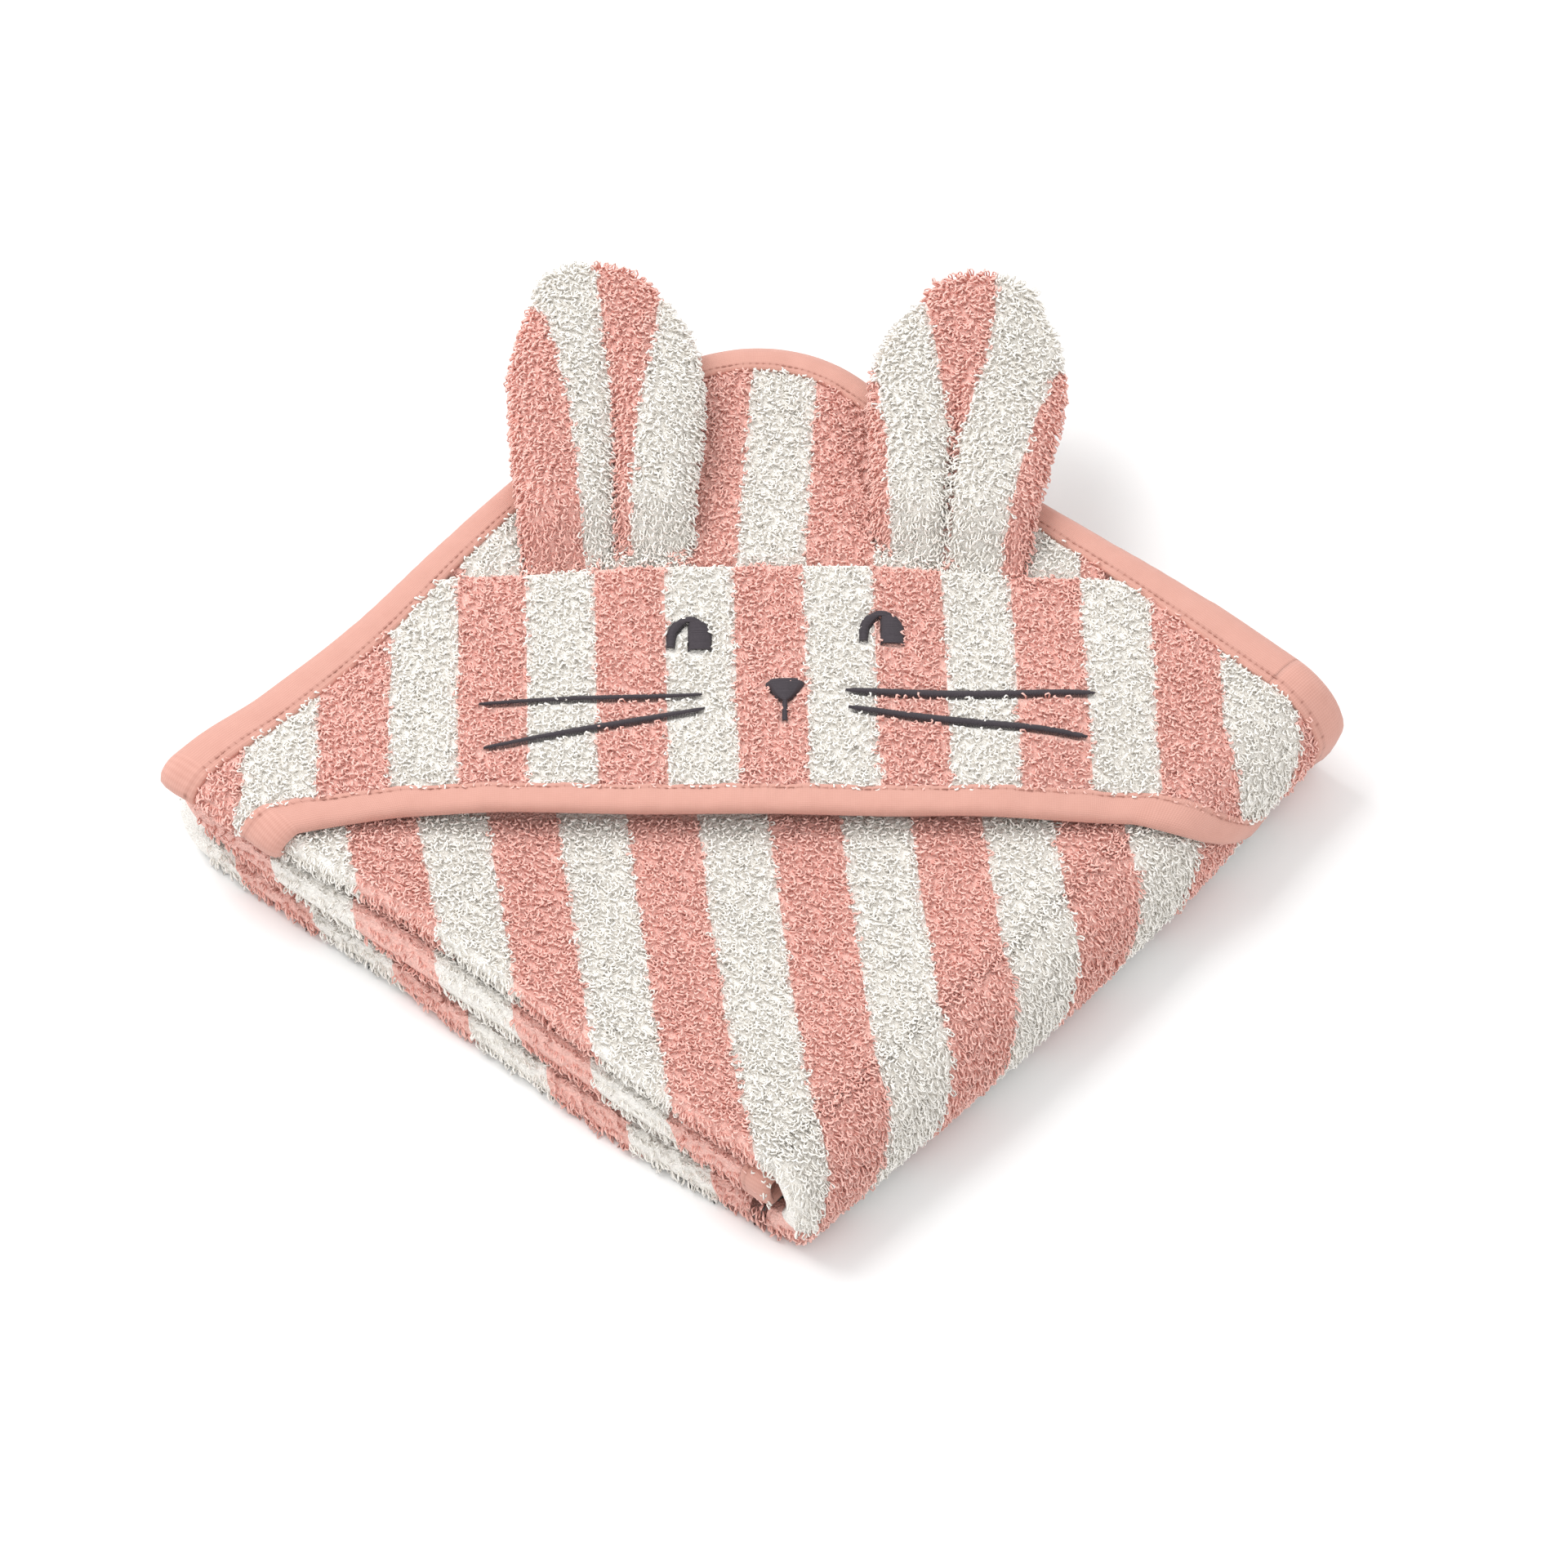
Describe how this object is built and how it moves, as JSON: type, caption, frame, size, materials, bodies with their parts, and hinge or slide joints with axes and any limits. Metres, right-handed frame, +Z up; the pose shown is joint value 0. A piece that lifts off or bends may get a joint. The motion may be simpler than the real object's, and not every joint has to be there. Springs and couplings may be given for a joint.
{
  "type": "hooded baby towel",
  "caption": "Striped terry baby towel folded flat, with a bunny-faced hood with ears, bias-bound edges and a fold that opens like a book.",
  "frame": {"origin": "on the underside, in the middle of the folded packet", "axes": "+Z up out of the packet, +Y to the point of the hood at the back, +X to the hood's right end"},
  "size_m": [0.3437, 0.3383, 0.0647],
  "materials": {
    "terry": "looped cotton terry in broad pink and cream stripes",
    "binding": "plain-woven cotton bias tape, peach pink",
    "embroidery_thread": "dark grey satin-stitch thread with a slight sheen",
    "sewing_thread": "fine matt sewing thread"
  },
  "bodies": {
    "base": {"base_third": "terry", "middle_third": "terry", "inner_bend": "terry", "base_back_right_binding": "binding", "base_front_left_binding": "binding", "middle_back_right_binding": "binding", "middle_front_left_binding": "binding", "middle_end_binding": "binding"},
    "front": {"crown_panel": "terry", "front_left_binding": "binding", "front_lower_binding": "binding", "front_third": "terry", "hood_left_edge_binding": "binding", "hood_left_end": "terry", "hood_left_wrap": "terry", "hood_right_edge_binding": "binding", "hood_right_end": "terry", "hood_right_wrap": "terry", "hood_seam": "terry", "hood_side_binding": "binding", "hood_side_stitching": "sewing_thread", "outer_bend": "terry", "outer_bend_binding": "binding"},
    "hood_flap": {"face_panel": "terry", "hood_edge_binding": "binding", "hood_edge_stitching": "sewing_thread", "left_eye": "embroidery_thread", "right_eye": "embroidery_thread", "nose": "embroidery_thread", "left_upper_whisker": "embroidery_thread", "left_lower_whisker": "embroidery_thread", "right_upper_whisker": "embroidery_thread", "right_lower_whisker": "embroidery_thread"},
    "left_ear": {"left_ear_front": "terry", "left_ear_back": "terry"},
    "right_ear": {"right_ear_front": "terry", "right_ear_back": "terry"}
  },
  "joints": [
    {"name": "front_open", "type": "hinge", "parent": "base", "child": "front", "pos_m": [0.07806, -0.07806, 0.0178], "axis": [0.7071, 0.7071, 0], "range_deg": [0, 120], "deforming": ["outer_bend", "outer_bend_binding", "hood_right_wrap"]},
    {"name": "hood_open", "type": "hinge", "parent": "front", "child": "hood_flap", "pos_m": [0.00305, 0.04991, 0.0446], "axis": [-0.9981, 0.061, 0], "range_deg": [0, 35]},
    {"name": "left_ear_flop", "type": "hinge", "parent": "front", "child": "left_ear", "pos_m": [-0.03511, 0.06476, 0.045], "axis": [0.9981, -0.061, 0], "range_deg": [0, 120]},
    {"name": "right_ear_flop", "type": "hinge", "parent": "front", "child": "right_ear", "pos_m": [0.0637, 0.05872, 0.045], "axis": [0.9981, -0.061, 0], "range_deg": [0, 120]}
  ]
}
